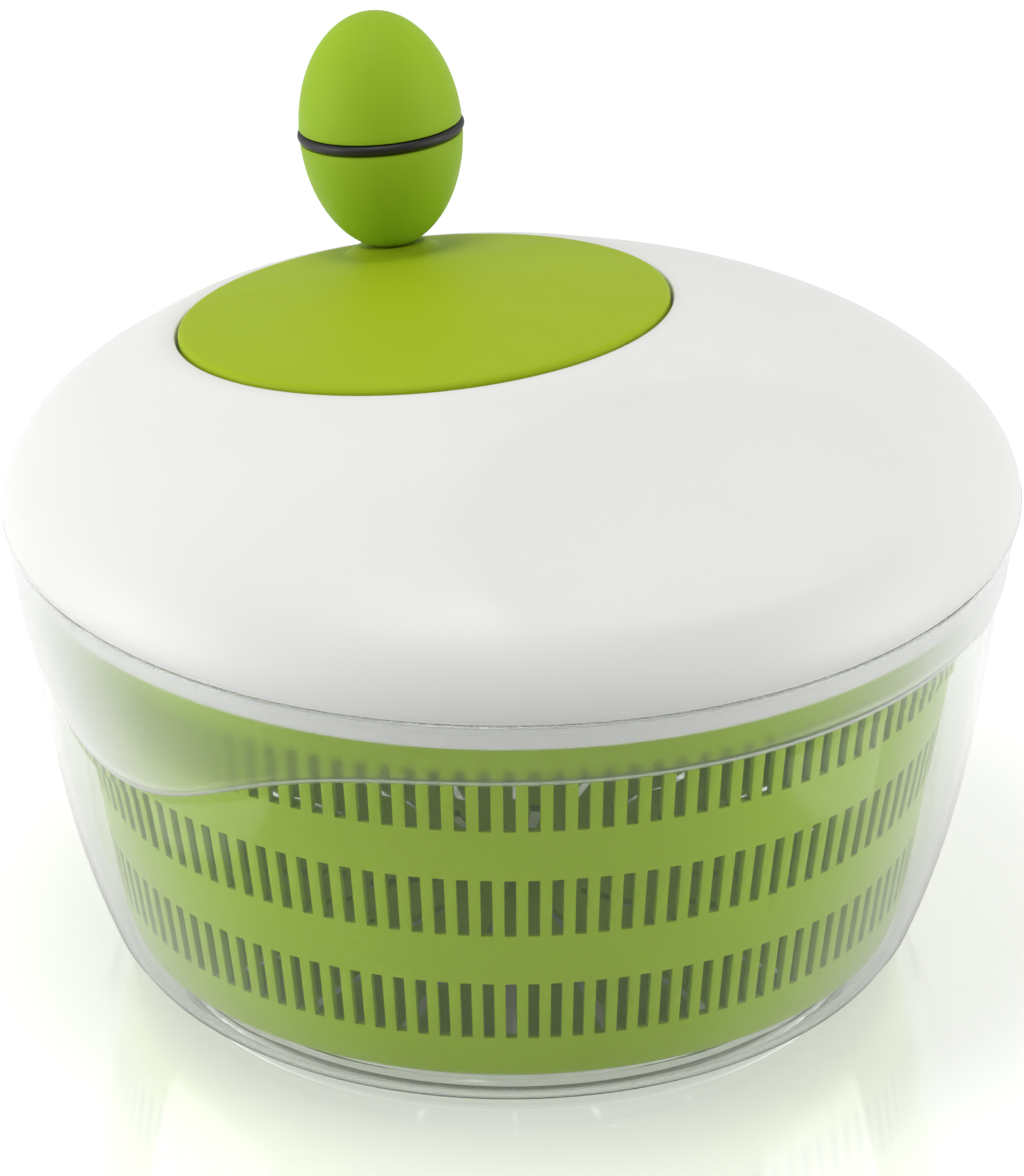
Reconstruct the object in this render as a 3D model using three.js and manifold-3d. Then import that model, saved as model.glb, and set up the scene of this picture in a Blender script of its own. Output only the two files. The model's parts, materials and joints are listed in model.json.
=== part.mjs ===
// Hand-cranked salad spinner: clear bowl, slotted basket, domed lid, tilted crank disc and egg knob.
// Millimetres, +Z up. The origin is the centre of the bowl's foot, on the table. The pour spout is
// at -X, the thumb recess at -Y and the crank disc leans out towards +Y.
import * as THREE from 'three';
import { mergeVertices } from 'three/addons/utils/BufferGeometryUtils.js';
import Module from 'manifold-3d';

const wasm = await Module();
wasm.setup();

// ---------------------------------------------------------------- driving dimensions
const RIM_RADIUS = 130; // widest circle, the edge of the lid
const RIM_Z = 125; // height of that edge above the table
const GAP = 0.3; // clearance between pieces that touch
const WALL = 2.3; // wall of the bowl
const DOME_HEIGHT = 44.4; // apex of the full dome above its edge
const DOME_POWER = 1.02; // 1 is an ellipse, more is slightly conical
const LID_WALL = 2.5;
const SEGMENTS = 48; // facets round the large turned pieces
const FINE = 16; // facets round the small ones
const KNOB_FACETS = 24;
const SCREW_FACETS = 8;

// Crank disc: a circle cut out of the dome by a tilted plane.
const DISC_HOLE = 64.4;
const DISC_RADIUS = 63.6;
const DISC_CENTRE_Y = 38.6;
const DISC_CENTRE_Z = RIM_Z + 35.6;
const TILT = THREE.MathUtils.degToRad(7.6);
const DISC_EDGE_Z = 1.4; // the disc stands a little proud of the hole's plane
const DISC_EDGE_ROUNDING = 1.8;
const DISC_CROWN = 4.5;
const DISC_SKIRT_Z = -9;
const DISC_WALL = 2.4;

// Egg knob, on a collar of the disc.
const KNOB_X = 19.7;
const KNOB_Y = 43.5;
const COLLAR_HEIGHT = 2;
const COLLAR_RADIUS = 8.6;
const COLLAR_FLARE = 12.6;
const EGG_RADIUS = 21.5;
const EGG_WAIST = 31.3; // height of the widest place above the collar
const EGG_TOP = 62.8;
const EGG_LOWER_AXIS = 32.2; // half axis of the lower ellipse
const EGG_WALL = 2.2;
const RING_SECTION = 1.4;

// Gear train: an internal ring gear under the disc turns a pinion on the bowl's own axis. The two
// axes meet at an apex below the bowl, so the teeth taper towards that apex.
const RING_TEETH = 48;
const PINION_TEETH = 12;
const GEAR_RATIO = RING_TEETH / PINION_TEETH;
const PINION_LOW = 145;
const PINION_TOP = 152.6;
const RING_LOW = -22.5;
const WEB_TOP = -8.5;
const WEB_LOW = -10.5;
const RING_WALL_RADIUS = 55;
const BACKLASH = 0.7;

// Shaft and its bearings, on the vertical axis.
const SHAFT_RADIUS = 4;
const SQUARE = 5.4; // square ends of the shaft
const TUBE_RADIUS = 9;
const TUBE_BORE = 6.3;
const TUBE_LOW = 117;
const TUBE_TOP = 141;

// Crank post, on the crank axis.
const POST_RADIUS = 6;
const SHOULDER_RADIUS = 10;
const SHOULDER_TOP = -25.6;
const HUB_LOW = -24;
const HUB_RADIUS = 10;
const HUB_BORE = 8.3;
const WEB_SCREW_RADIUS = 16.5;

// Drive plate and the basket's rim.
const PLATE_RADIUS = 110;
const PLATE_LOW = 110.5;
const PLATE_TOP = 113;
const LUGS = 6;
const LUG_WIDTH = 12;
const LUG_REACH = 113.6;

// Basket.
const SLOTS = 120; // in each of the three rows
const BASKET_FACETS = SLOTS / 3;
const SLOT_PHASE = THREE.MathUtils.degToRad(0.5); // of the first slot from +X
const SLOT_WIDTH = 2.9;
const BASKET_WALL = 2;
const BASKET_FLOOR = 12;

// Bowl.
const SPOUT_AZIMUTH = THREE.MathUtils.degToRad(182);
const BOWL_FACETS = 40;

// Oval thumb dish in the dome.
const RECESS_CENTRE_Y = -79;
const RECESS_HALF_X = 66.5;
const RECESS_HALF_Y = 39.5;
const RECESS_DEPTH = 8;

// Lid base.
const LID_PLATE_LOW = 121.4;
const LID_PLATE_TOP = 123.6;
const LID_SCREWS = 6;
const LID_SCREW_CIRCLE = 112;

// Thread-forming screws and the pilot holes they sit in.
const SHANK_RADIUS = 1.4;
const PILOT_RADIUS = 1.7;

const crankFrame = new THREE.Matrix4()
  .makeRotationX(-TILT)
  .setPosition(0, DISC_CENTRE_Y, DISC_CENTRE_Z);

// ---------------------------------------------------------------- materials
function plastic(name, color, roughness, opacity = 1) {
  return new THREE.MeshStandardMaterial({
    name,
    color,
    roughness,
    metalness: 0,
    opacity,
    transparent: opacity < 1,
  });
}

const clearPlastic = plastic('clear', 0xe8eeee, 0.08, 0.3);
const greenSatin = plastic('green_satin', 0xa2be2a, 0.5);
const greenGloss = plastic('green_gloss', 0x96b93c, 0.3);
const whiteSatin = plastic('white_satin', 0xf0efec, 0.45);
const acetal = plastic('acetal', 0xe2e0d8, 0.5);
const blackRubber = plastic('rubber', 0x141414, 0.7);
const steel = new THREE.MeshStandardMaterial({
  name: 'steel',
  color: 0xb8babc,
  roughness: 0.3,
  metalness: 1,
});

// ---------------------------------------------------------------- shape helpers
function bareTriangles(geometry) {
  const bare = geometry.clone();
  bare.deleteAttribute('normal');
  bare.deleteAttribute('uv');
  const merged = mergeVertices(bare, 1e-4);
  const index = merged.index.array;
  const kept = [];
  for (let i = 0; i < index.length; i += 3) {
    const [a, b, c] = [index[i], index[i + 1], index[i + 2]];
    if (a !== b && b !== c && c !== a) kept.push(a, b, c);
  }
  return { vertices: merged.attributes.position.array, triangles: new Uint32Array(kept) };
}

function signedVolume({ vertices, triangles }) {
  const corner = (i) => new THREE.Vector3().fromArray(vertices, 3 * triangles[i]);
  let volume = 0;
  for (let i = 0; i < triangles.length; i += 3) {
    volume += corner(i).dot(corner(i + 1).cross(corner(i + 2)));
  }
  return volume;
}

// Closed three.js geometry to manifold solid, turned the right way out.
function solid(geometry) {
  const mesh = bareTriangles(geometry);
  if (signedVolume(mesh) < 0) mesh.triangles.reverse();
  return new wasm.Manifold(
    new wasm.Mesh({ numProp: 3, vertProperties: mesh.vertices, triVerts: mesh.triangles }),
  );
}

function geometryOf(body) {
  const mesh = body.getMesh();
  const geometry = new THREE.BufferGeometry();
  geometry.setAttribute('position', new THREE.BufferAttribute(new Float32Array(mesh.vertProperties), 3));
  geometry.setIndex(new THREE.BufferAttribute(new Uint32Array(mesh.triVerts), 1));
  geometry.computeVertexNormals();
  return geometry;
}

// Turned piece about Z from [radius, height] points that end on the axis or close on themselves.
function turnedGeometry(profile, segments) {
  const points = profile.map(([radius, height]) => new THREE.Vector2(radius, height));
  const geometry = new THREE.LatheGeometry(points, segments);
  return geometry.rotateX(Math.PI / 2);
}

function turned(profile, segments = FINE) {
  return solid(turnedGeometry(profile, segments));
}

function rod(radius, low, high, segments = FINE) {
  return turned([[0, low], [radius, low], [radius, high], [0, high]], segments);
}

function sleeve(inner, outer, low, high, segments = FINE) {
  return turned([[inner, low], [outer, low], [outer, high], [inner, high], [inner, low]], segments);
}

// Box from its size and the middle of its lower face, turned about Z.
function block(width, depth, low, high, x = 0, y = 0, turn = 0) {
  const geometry = new THREE.BoxGeometry(width, depth, high - low);
  geometry.translate(x, y, (low + high) / 2);
  geometry.rotateZ(turn);
  return solid(geometry);
}

function moved(body, matrix) {
  return solid(geometryOf(body).applyMatrix4(matrix));
}

function at(x, y, z = 0) {
  return new THREE.Matrix4().makeTranslation(x, y, z);
}

function joined(bodies) {
  return bodies.reduce((sum, body) => sum.add(body));
}

function around(count, make, phase = 0) {
  return Array.from({ length: count }, (_, i) => make(phase + (2 * Math.PI * i) / count, i));
}

function polar(radius, angle) {
  return [radius * Math.cos(angle), radius * Math.sin(angle)];
}

function piece(name, body, material) {
  const mesh = new THREE.Mesh(geometryOf(body), material);
  mesh.name = name;
  return mesh;
}

// Pan-head screw along -Z: the head's underside is at z = 0 and the shank points up.
function screw(headRadius, headHeight, length) {
  return turned(
    [
      [0, -headHeight],
      [headRadius * 0.85, -headHeight],
      [headRadius, 0],
      [SHANK_RADIUS, 0],
      [SHANK_RADIUS, length],
      [0, length + SHANK_RADIUS],
    ],
    SCREW_FACETS,
  );
}

// ---------------------------------------------------------------- bowl
const bowlOuter = [
  [91.7, 0],
  [92, 2.2],
  [101, 4.5],
  [105.7, 11],
  [112.2, 30],
  [119.2, 60],
  [123.5, 90],
  [125.7, 107],
  [126.7, 108.8],
  [129.6, RIM_Z - 0.6],
];

// The pour spout: the collar bulges a little towards -X, between its crease and the rim.
function flareSpout(geometry) {
  const reach = THREE.MathUtils.degToRad(38);
  const foot = 83;
  const bulge = 1.6;
  const position = geometry.attributes.position;
  for (let i = 0; i < position.count; i += 1) {
    const [x, y, z] = [position.getX(i), position.getY(i), position.getZ(i)];
    const turn = Math.atan2(y, x) - SPOUT_AZIMUTH;
    const away = Math.abs(Math.atan2(Math.sin(turn), Math.cos(turn))) / reach;
    const rise = (z - foot) / (RIM_Z - foot);
    if (away < 1 && rise > 0 && rise < 1) {
      const push = 1 + (bulge * Math.cos((away * Math.PI) / 2) ** 2 * Math.sin(rise * Math.PI)) / RIM_RADIUS;
      position.setXY(i, x * push, y * push);
    }
  }
  return geometry;
}

function makeBowl() {
  const floorTop = 5.6;
  const inner = [
    [129.6 - WALL, RIM_Z - 0.6],
    [126.7 - WALL, 109.4],
    [125.4 - WALL, 106.4],
    [123.4 - WALL, 90],
    [119 - WALL, 60],
    [112 - WALL, 30.6],
    [105.4 - WALL, 12.4],
    [98.5, 7],
    [95, floorTop],
  ];
  const pin = [[10, floorTop], [4.4, 9], [4, 17], [3, 18], [0, 18]];
  const foot = [[0, 3.3], [88, 3.3], [88, 0]];
  return solid(flareSpout(turnedGeometry([...foot, ...bowlOuter, ...inner, ...pin], BOWL_FACETS)));
}

// ---------------------------------------------------------------- basket
const slotRows = [
  { top: 105.9, bottom: 88.6, radius: 115.5 },
  { top: 74, bottom: 56.9, radius: 110.4 },
  { top: 42.1, bottom: 25.4, radius: 105.4 },
];

function makePivotBush() {
  const bore = 4.7;
  const outer = 6.7;
  return turned([
    [0, 20.2],
    [outer - 1, 20.2],
    [outer, 19.4],
    [outer, 9.4],
    [bore, 9.4],
    [bore, 18.3],
    [0, 18.3],
  ]);
}

function makeBasket() {
  const wallOuter = [
    [92, BASKET_FLOOR],
    [99, 13.6],
    [103.5, 20],
    [107.7, 49.5],
    [113, 81],
    [116.8, 111],
    [119.4, 117],
    [119.4, 119],
  ];
  const wallInner = [
    [116.4, 119],
    [116.8 - BASKET_WALL, 111],
    [113 - BASKET_WALL, 81],
    [107.7 - BASKET_WALL, 49.5],
    [103.5 - BASKET_WALL, 20.4],
    [98, 15.4],
    [91.5, BASKET_FLOOR + BASKET_WALL],
  ];
  const socket = [[0, 20.6], [7, 20.6], [7, 8.8], [10, 8.8], [10, BASKET_FLOOR]];
  const hub = [[14, BASKET_FLOOR + BASKET_WALL], [9.5, 24], [0, 24.6]];
  const facetTurn = new THREE.Matrix4().makeRotationZ(SLOT_PHASE - Math.PI / SLOTS);
  const shell = moved(turned([...socket, ...wallOuter, ...wallInner, ...hub], BASKET_FACETS), facetTurn);

  const wallSlots = slotRows.flatMap(({ top, bottom, radius }) => {
    const deep = 5 * BASKET_WALL;
    return around(SLOTS, (angle) => block(deep, SLOT_WIDTH, bottom, top, radius, 0, angle), SLOT_PHASE);
  });
  const floorSlot = (from, to) => (angle) => {
    return block(to - from, 3, BASKET_FLOOR - 4, BASKET_FLOOR + 6, (from + to) / 2, 0, angle);
  };
  const innerCount = 10;
  const outerSlots = around(2 * innerCount, floorSlot(44, 86));
  const innerSlots = around(innerCount, floorSlot(20, 38), Math.PI / (2 * innerCount));
  const ribClearance = 1.4; // from a lug's side to the middle of the rib beside it
  const ribTurn = (LUG_WIDTH / 2 + ribClearance) / LUG_REACH;
  const ribs = around(LUGS, (angle) => {
    const rib = (side) => block(4.1, 2, 107, 113.5, 113.85, 0, angle + side * ribTurn);
    return rib(-1).add(rib(1));
  });
  return shell.subtract(joined([...wallSlots, ...outerSlots, ...innerSlots])).add(joined(ribs));
}

// ---------------------------------------------------------------- lid
function domePoint(turn, inset) {
  const angle = THREE.MathUtils.degToRad(turn);
  const radius = (RIM_RADIUS - inset) * Math.sin(angle);
  return [radius, RIM_Z + (DOME_HEIGHT - inset) * Math.cos(angle) ** DOME_POWER];
}

const domeSteps = [81, 71, 59, 46, 32, 16];
const innerDomeSteps = [81, 68, 52, 28];

// Everything under the dome down to the lid plate, to cut the bosses to length.
function underDome() {
  const depth = LID_WALL / 2;
  const outer = domeSteps.map((turn) => domePoint(turn, depth));
  const corner = RIM_RADIUS - depth;
  const side = [[0, LID_PLATE_TOP], [corner, LID_PLATE_TOP], [corner, RIM_Z]];
  const profile = [...side, ...outer, [0, RIM_Z + DOME_HEIGHT - depth]];
  return solid(pressRecess(turnedGeometry(profile, SEGMENTS)));
}

// Shallow oval thumb dish, pressed into both faces of the dome.
function pressRecess(geometry) {
  const position = geometry.attributes.position;
  for (let i = 0; i < position.count; i += 1) {
    const across = position.getX(i) / RECESS_HALF_X;
    const along = (position.getY(i) - RECESS_CENTRE_Y) / RECESS_HALF_Y;
    const reach = across ** 2 + along ** 2;
    if (reach < 1) position.setZ(i, position.getZ(i) - RECESS_DEPTH * (1 - reach));
  }
  return geometry;
}

function lidScrewSpots() {
  return around(LID_SCREWS, (angle) => at(...polar(LID_SCREW_CIRCLE, angle)));
}

function makeLidCover() {
  const outer = domeSteps.map((turn) => domePoint(turn, 0));
  const inner = innerDomeSteps.map((turn) => domePoint(turn, LID_WALL)).reverse();
  const profile = [
    [0, RIM_Z + DOME_HEIGHT - LID_WALL],
    ...inner,
    [RIM_RADIUS - LID_WALL, RIM_Z],
    [RIM_RADIUS, RIM_Z],
    ...outer,
    [0, RIM_Z + DOME_HEIGHT],
  ];
  const shell = solid(pressRecess(turnedGeometry(profile, SEGMENTS)));
  const hole = moved(rod(DISC_HOLE, -30, 30, SEGMENTS), crankFrame);
  const lip = moved(sleeve(DISC_HOLE, DISC_HOLE + 2, DISC_SKIRT_Z, -1.2, SEGMENTS), crankFrame);
  const bosses = joined(lidScrewSpots().map((spot) => {
    return moved(rod(4, LID_PLATE_TOP + GAP, RIM_Z + 30, SCREW_FACETS), spot);
  }));
  const pilots = joined(lidScrewSpots().map((spot) => {
    return moved(rod(PILOT_RADIUS, LID_PLATE_TOP - 1, LID_PLATE_TOP + 13, SCREW_FACETS), spot);
  }));
  return shell.subtract(hole).add(lip).add(bosses.intersect(underDome())).subtract(pilots);
}

function makeLidBase() {
  const plate = turned(
    [
      [TUBE_BORE, LID_PLATE_LOW],
      [123.4, LID_PLATE_LOW],
      [123.3, 117],
      [125.3, 117],
      [126.4, 123],
      [126.9, 126.4],
      [125, 126.4],
      [124.4, LID_PLATE_TOP],
      [TUBE_BORE, LID_PLATE_TOP],
      [TUBE_BORE, LID_PLATE_LOW],
    ],
    SEGMENTS,
  );
  const tube = sleeve(TUBE_BORE, TUBE_RADIUS, TUBE_LOW, TUBE_TOP);
  const abovePlate = block(80, 80, LID_PLATE_LOW + 1, RIM_Z + 40, 0, DISC_CENTRE_Y);
  const shoulder = moved(rod(SHOULDER_RADIUS, -60, SHOULDER_TOP), crankFrame);
  const post = moved(rod(POST_RADIUS, -60, WEB_TOP), crankFrame);
  const pilot = moved(rod(PILOT_RADIUS, WEB_TOP - 16, WEB_TOP + 1, SCREW_FACETS), crankFrame);
  const gusset = block(3, 20, LID_PLATE_TOP - 1, 133, 0, 17);
  const holes = lidScrewSpots().map((spot) => {
    return moved(rod(2, LID_PLATE_LOW - 1, LID_PLATE_TOP + 1, SCREW_FACETS), spot);
  });
  return plate
    .add(tube)
    .add(shoulder.add(post).intersect(abovePlate))
    .add(gusset)
    .subtract(pilot)
    .subtract(joined(holes));
}

function makeLidScrews() {
  const body = screw(3.3, 1.9, 12);
  return lidScrewSpots().map((spot, i) => {
    const mesh = piece(`lid_screw_${i + 1}`, body, steel);
    mesh.applyMatrix4(spot);
    mesh.position.z = LID_PLATE_LOW - GAP;
    return mesh;
  });
}

// ---------------------------------------------------------------- gears
// Pitch cones of the pair, from the angle between the axes and the ratio.
const pinionCone = Math.atan(Math.sin(TILT) / (GEAR_RATIO - Math.cos(TILT)));
const ringCone = pinionCone + TILT;
const apexDrop = DISC_CENTRE_Y / Math.sin(TILT); // apex below the disc's centre, along the crank axis
const apexZ = DISC_CENTRE_Z - apexDrop * Math.cos(TILT);
const gearModule = (pitch, teeth) => (2 * pitch) / teeth;

// Outline of straight-flanked teeth between a root and a tip circle.
function toothOutline(teeth, pitch, root, tip, thickness) {
  const pressure = Math.tan(THREE.MathUtils.degToRad(20));
  const points = [];
  for (let i = 0; i < teeth; i += 1) {
    const middle = (2 * Math.PI * i) / teeth;
    for (const [radius, side] of [[root, -1], [tip, -1], [tip, 1], [root, 1]]) {
      const half = (thickness / 2 - (radius - pitch) * pressure) / radius;
      points.push(new THREE.Vector2(...polar(radius, middle + side * half)));
    }
  }
  return points;
}

// Extrusion from low to high whose section scales with the distance from the apex.
function taperedPrism(shape, low, high, middle, apexDistance) {
  const geometry = new THREE.ExtrudeGeometry(shape, { depth: high - low, bevelEnabled: false });
  geometry.translate(0, 0, low);
  const position = geometry.attributes.position;
  for (let i = 0; i < position.count; i += 1) {
    const scale = (apexDistance + position.getZ(i) - middle) / apexDistance;
    position.setXY(i, position.getX(i) * scale, position.getY(i) * scale);
  }
  return solid(geometry);
}

function makePinion() {
  const middle = (PINION_LOW + PINION_TOP) / 2;
  const apexDistance = middle - apexZ;
  const pitch = apexDistance * Math.tan(pinionCone);
  const size = gearModule(pitch, PINION_TEETH);
  const thickness = (Math.PI * size) / 2 - BACKLASH / 2;
  const outline = toothOutline(PINION_TEETH, pitch, pitch - 1.15 * size, pitch + 0.8 * size, thickness);
  const teeth = taperedPrism(new THREE.Shape(outline), PINION_LOW, PINION_TOP, middle, apexDistance);
  const hub = rod(6.6, TUBE_TOP + GAP + 1.6, PINION_LOW + 1);
  const bore = block(SQUARE + 2 * GAP, SQUARE + 2 * GAP, TUBE_TOP, PINION_TOP + 2);
  return teeth.add(hub).subtract(bore);
}

function makeRingGear() {
  const pinionMiddle = (PINION_LOW + PINION_TOP) / 2;
  const slant = (pinionMiddle - apexZ) / Math.cos(pinionCone);
  const apexDistance = slant * Math.cos(ringCone);
  const middle = apexDistance - apexDrop;
  const pitch = slant * Math.sin(ringCone);
  const size = gearModule(pitch, RING_TEETH);
  const space = (Math.PI * size) / 2 + BACKLASH / 2;
  const outline = toothOutline(RING_TEETH, pitch, pitch - 0.7 * size, pitch + 1.15 * size, space);
  const spaces = taperedPrism(new THREE.Shape(outline), RING_LOW - 1, WEB_LOW, middle, apexDistance);
  const wall = rod(RING_WALL_RADIUS, RING_LOW, WEB_TOP, SEGMENTS);
  const hub = sleeve(HUB_BORE, HUB_RADIUS, HUB_LOW, WEB_LOW + 1);
  const bore = rod(HUB_BORE, HUB_LOW - 1, WEB_TOP + 1);
  const holes = webScrewSpots().map((spot) => moved(rod(2, WEB_LOW - 1, WEB_TOP + 1, SCREW_FACETS), spot));
  return wall.subtract(spaces).add(hub).subtract(bore).subtract(joined(holes));
}

function webScrewSpots() {
  return around(3, (angle) => at(...polar(WEB_SCREW_RADIUS, angle)));
}

// ---------------------------------------------------------------- crank, in the crank frame
function discTop(radius) {
  return DISC_EDGE_Z + DISC_CROWN * (1 - (radius / DISC_RADIUS) ** 2);
}

const knobReach = Math.hypot(KNOB_X, KNOB_Y);
const collarTop = discTop(knobReach) + COLLAR_HEIGHT;
const knobSeatLow = -4.6; // underside of the disc's boss for the knob
const knobSeatRadius = 8.2;
const spindleRadius = 3;

function makeCrankDisc() {
  const radii = [0, 24, 44, DISC_RADIUS - DISC_EDGE_ROUNDING];
  const top = radii.map((radius) => [radius, discTop(radius)]);
  const under = radii.map((radius) => [radius, discTop(radius) - DISC_WALL]).reverse();
  const shell = turned(
    [
      ...top,
      [DISC_RADIUS - 0.3 * DISC_EDGE_ROUNDING, DISC_EDGE_Z - 0.3 * DISC_EDGE_ROUNDING],
      [DISC_RADIUS, DISC_EDGE_Z - DISC_EDGE_ROUNDING],
      [DISC_RADIUS, DISC_SKIRT_Z],
      [DISC_RADIUS - DISC_WALL, DISC_SKIRT_Z],
      [DISC_RADIUS - DISC_WALL, DISC_EDGE_Z - DISC_WALL - 0.4],
      ...under,
    ],
    SEGMENTS,
  );
  const collar = turned([
    [0, knobSeatLow],
    [knobSeatRadius, knobSeatLow],
    [knobSeatRadius, collarTop - COLLAR_HEIGHT - 1.4],
    [COLLAR_FLARE, collarTop - COLLAR_HEIGHT - 0.8],
    [COLLAR_RADIUS + 1.2, collarTop - COLLAR_HEIGHT + 0.6],
    [COLLAR_RADIUS, collarTop],
    [0, collarTop],
  ]);
  const seat = at(KNOB_X, KNOB_Y);
  const spindleHole = moved(rod(spindleRadius + GAP, knobSeatLow - 1, collarTop + 1), seat);
  const bosses = webScrewSpots().map((spot) => {
    return moved(rod(3.6, WEB_TOP + GAP, discTop(WEB_SCREW_RADIUS) - 1, SCREW_FACETS), spot);
  });
  const pilots = webScrewSpots().map((spot) => moved(rod(PILOT_RADIUS, WEB_TOP, -1.5, SCREW_FACETS), spot));
  return shell
    .add(moved(collar, seat))
    .add(joined(bosses))
    .subtract(spindleHole)
    .subtract(joined(pilots));
}

function makeWebScrews() {
  const body = screw(3.2, 1.7, 7);
  return webScrewSpots().map((spot, i) => {
    const mesh = piece(`ring_gear_screw_${i + 1}`, body, steel);
    mesh.applyMatrix4(spot);
    mesh.position.z = WEB_LOW - GAP;
    return mesh;
  });
}

function makeCrankBush() {
  return turned([
    [POST_RADIUS + GAP, SHOULDER_TOP + GAP],
    [SHOULDER_RADIUS, SHOULDER_TOP + GAP],
    [SHOULDER_RADIUS, HUB_LOW - GAP],
    [HUB_BORE - GAP, HUB_LOW - GAP],
    [HUB_BORE - GAP, WEB_TOP],
    [POST_RADIUS + GAP, WEB_TOP],
    [POST_RADIUS + GAP, SHOULDER_TOP + GAP],
  ]);
}

// Screws that point down are the shared screw turned over.
function invertedScrew(name, x, y, headUnderside, body) {
  const mesh = piece(name, body, steel);
  mesh.rotation.x = Math.PI;
  mesh.position.set(x, y, headUnderside);
  return mesh;
}

// ---------------------------------------------------------------- knob, upright on its own axis
function eggRadius(height, inset = 0) {
  const axis = height < EGG_WAIST ? EGG_LOWER_AXIS : EGG_TOP - EGG_WAIST;
  const reach = Math.abs(height - EGG_WAIST) / (axis - inset);
  return (EGG_RADIUS - inset) * Math.sqrt(Math.max(0, 1 - reach ** 2));
}

const grooveLow = EGG_WAIST - RING_SECTION - GAP;
const grooveTop = EGG_WAIST + RING_SECTION + GAP;
const spigotRadius = EGG_RADIUS - 2 * RING_SECTION - 0.6;

function makeKnobLower() {
  const outer = [0.3, 3, 7, 12, 18, 24, grooveLow].map((height) => [eggRadius(height), height]);
  const inner = [24, 18, 12].map((height) => [eggRadius(height, EGG_WALL), height]);
  return turned(
    [
      [5, 0.3],
      ...outer,
      [spigotRadius, grooveLow],
      [spigotRadius, grooveTop + 2],
      [spigotRadius - 1.8, grooveTop + 2],
      ...inner,
      [7, 9],
      [7, 26],
      [5, 26],
      [5, 0.3],
    ],
    KNOB_FACETS,
  );
}

function makeKnobUpper() {
  const heights = [39, 46, 53, 58.5, 61.3];
  const outer = [grooveTop, ...heights].map((height) => [eggRadius(height), height]);
  const inner = [grooveTop, ...heights.slice(0, -1)].map((height) => [eggRadius(height, EGG_WALL), height]);
  const tip = [[0, EGG_TOP - EGG_WALL]];
  return turned([...tip, ...inner.reverse(), ...outer, [0, EGG_TOP]], KNOB_FACETS);
}

function makeKnobRing() {
  const centre = EGG_RADIUS + 0.5 - RING_SECTION;
  const section = around(8, (angle) => {
    const [across, up] = polar(RING_SECTION, angle);
    return [centre + across, EGG_WAIST + up];
  });
  return turned([...section, section[0]], KNOB_FACETS);
}

const knobBushTop = 27.3;

function makeKnobBush() {
  const bore = spindleRadius + GAP;
  return turned([
    [bore, 1],
    [4.7, 1],
    [4.7, knobBushTop - 1],
    [6.4, knobBushTop - 1],
    [6.4, knobBushTop],
    [bore, knobBushTop],
    [bore, 1],
  ]);
}

// The spindle hangs by its flange under the disc; its top carries the washer and screw.
function makeKnobSpindle() {
  const flangeTop = knobSeatLow - GAP - collarTop;
  const body = turned([
    [0, flangeTop - 1.3],
    [6, flangeTop - 1.3],
    [6, flangeTop],
    [spindleRadius, flangeTop],
    [spindleRadius, knobBushTop],
    [0, knobBushTop],
  ]);
  return body.subtract(rod(PILOT_RADIUS, 14, 28, SCREW_FACETS));
}

// ---------------------------------------------------------------- drive, on the vertical axis
function makeShaft() {
  const round = rod(SHAFT_RADIUS, 112.3, 142);
  const square = block(SQUARE, SQUARE, 108.1, PINION_TOP + 0.2);
  const neck = turned([
    [0, PINION_TOP - 1],
    [2.4, PINION_TOP - 1],
    [2.4, 153.1],
    [1.8, 153.1],
    [1.8, 154.3],
    [2.4, 154.3],
    [2.4, 154.8],
    [0, 154.8],
  ]);
  const pilot = rod(PILOT_RADIUS, 107, 120, SCREW_FACETS);
  return round.add(square).add(neck).subtract(pilot);
}

function makePinionClip() {
  const ring = sleeve(1.8 + GAP, 4.6, 153.35, 154.05);
  return ring.subtract(block(6, 3.2, 153, 155, 4, 0));
}

function bushWithFlange(low, high, flangeLow, flangeHigh) {
  const bore = SHAFT_RADIUS + GAP;
  return sleeve(bore, TUBE_BORE - GAP, low, high).add(sleeve(bore, TUBE_RADIUS - 1, flangeLow, flangeHigh));
}

function makeDrivePlate() {
  const hubLow = 107.8;
  const disc = turned(
    [
      [0, hubLow],
      [12, hubLow],
      [14, PLATE_LOW],
      [PLATE_RADIUS, PLATE_LOW],
      [PLATE_RADIUS, PLATE_TOP],
      [12, PLATE_TOP],
      [12, TUBE_LOW - GAP - 1.3],
      [0, TUBE_LOW - GAP - 1.3],
    ],
    SEGMENTS,
  );
  const lugs = around(LUGS, (angle) => {
    const depth = LUG_REACH - PLATE_RADIUS + 3;
    return block(depth, LUG_WIDTH, 107.5, 116, LUG_REACH - depth / 2, 0, angle);
  });
  const bore = block(SQUARE + 2 * GAP, SQUARE + 2 * GAP, hubLow - 1, 112);
  const throat = rod(SHAFT_RADIUS + GAP, 112, 118);
  return disc.add(joined(lugs)).subtract(bore).subtract(throat);
}

// ---------------------------------------------------------------- assembly
const spinner = new THREE.Group();

spinner.add(
  piece('bowl', makeBowl(), clearPlastic),
  piece('basket_pivot_bush', makePivotBush(), acetal),
  piece('basket', makeBasket(), greenGloss),
  piece('lid_cover', makeLidCover(), whiteSatin),
  piece('lid_base', makeLidBase(), whiteSatin),
  ...makeLidScrews(),
  piece('shaft_bush_lower', bushWithFlange(TUBE_LOW - GAP - 0.4, 125, 115.7, 116.7), acetal),
  piece('shaft_bush_upper', bushWithFlange(133, TUBE_TOP + 0.7, 141.3, 142.3), acetal),
  piece('drive_shaft', makeShaft(), steel),
  piece('drive_pinion', makePinion(), acetal),
  piece('pinion_clip', makePinionClip(), steel),
  piece('drive_plate', makeDrivePlate(), whiteSatin),
  piece('drive_washer', sleeve(PILOT_RADIUS, 7, 106.5, 107.5), steel),
);
const driveScrew = piece('drive_screw', screw(4, 2, 11), steel);
driveScrew.position.z = 106.2;
spinner.add(driveScrew);

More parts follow.
